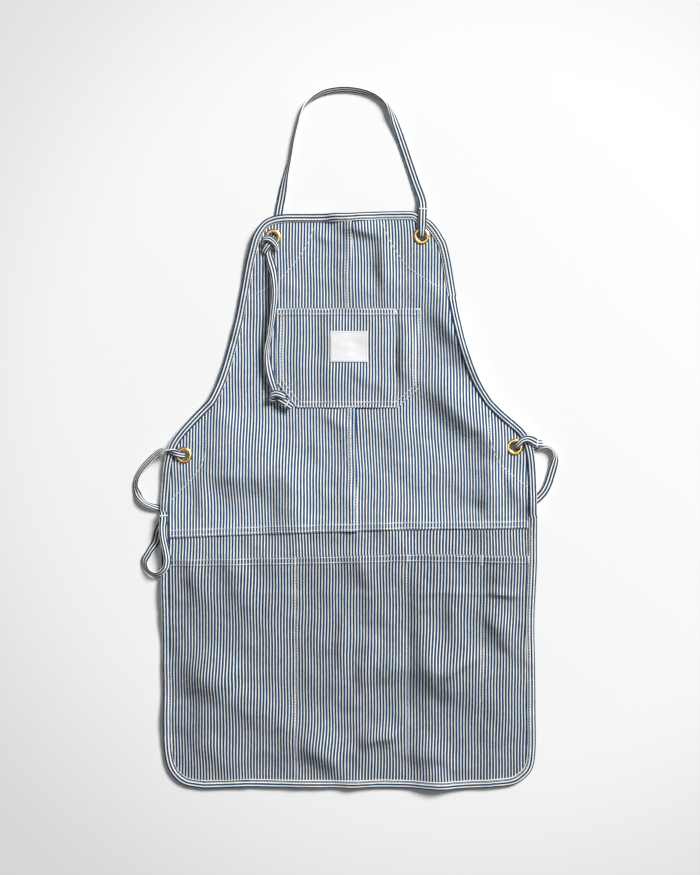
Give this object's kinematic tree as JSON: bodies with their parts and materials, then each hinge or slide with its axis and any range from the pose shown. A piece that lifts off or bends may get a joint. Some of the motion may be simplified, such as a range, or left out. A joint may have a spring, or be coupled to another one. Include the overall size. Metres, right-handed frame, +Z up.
{
  "type": "bib work apron",
  "caption": "Bib apron of narrow striped cotton lying flat: bound edges, chest pocket, divided full-width lower pocket, tool loop, brass grommets, knotted neck strap and waist ties.",
  "frame": {"origin": "middle of the whole apron's box, on the surface that it lies on", "axes": "+Y from the hem to the neck, +X to the right with the front facing up, +Z up out of the front"},
  "size_m": [0.6222, 1.0234, 0.0269],
  "materials": {
    "striped_cloth": "matt cotton drill, narrow indigo and off-white stripes",
    "brass": "pressed brass, satin",
    "label_cloth": "matt white woven label, blank"
  },
  "bodies": {
    "root": {"bib_panel_left": "striped_cloth", "bib_panel_right": "striped_cloth", "skirt_panel": "striped_cloth", "lower_pocket": "striped_cloth", "chest_pocket": "striped_cloth", "edge_binding": "striped_cloth", "corner_patch_bib_left": "striped_cloth", "corner_patch_bib_right": "striped_cloth", "corner_patch_waist_left": "striped_cloth", "corner_patch_waist_right": "striped_cloth", "neck_strap": "striped_cloth", "waist_tie_left": "striped_cloth", "waist_tie_right": "striped_cloth", "tool_loop": "striped_cloth", "grommet_bib_left": "brass", "grommet_bib_right": "brass", "grommet_waist_left": "brass", "grommet_waist_right": "brass", "label_patch": "label_cloth"}
  },
  "joints": []
}
